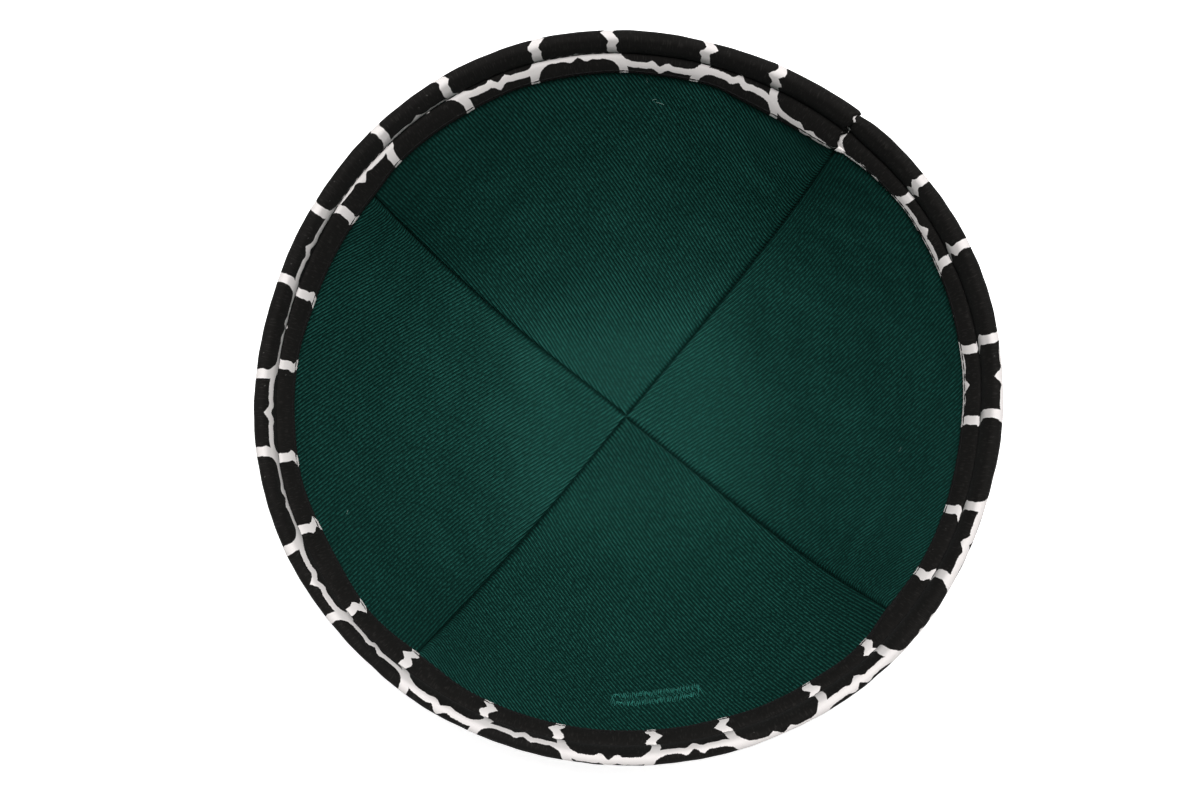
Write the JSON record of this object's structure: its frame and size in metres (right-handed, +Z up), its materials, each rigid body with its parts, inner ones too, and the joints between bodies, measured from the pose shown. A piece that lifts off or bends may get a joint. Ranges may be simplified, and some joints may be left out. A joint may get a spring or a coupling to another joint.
{
  "type": "kippah skullcap",
  "caption": "Brimless cloth skullcap lying on its crown: sewn curved panels over a twill lining, with a folded trellis-print binding round the rim.",
  "frame": {"origin": "on the surface that the cap lies on, under the middle of the crown", "axes": "+Z up out of the hollow, +X along the slightly longer way across the rim and through the middle of a panel, +Y through the middle of the next panel"},
  "size_m": [0.1702, 0.1682, 0.0662],
  "materials": {
    "lining_twill": "dark green satin twill",
    "trellis_cloth": "matt black cotton with a fine white quatrefoil trellis"
  },
  "bodies": {
    "root": {"lining_panel_1": "lining_twill", "lining_panel_2": "lining_twill", "lining_panel_3": "lining_twill", "lining_panel_4": "lining_twill", "shell_panel_1": "trellis_cloth", "shell_panel_2": "trellis_cloth", "shell_panel_3": "trellis_cloth", "shell_panel_4": "trellis_cloth", "rim_binding": "trellis_cloth"}
  },
  "joints": []
}
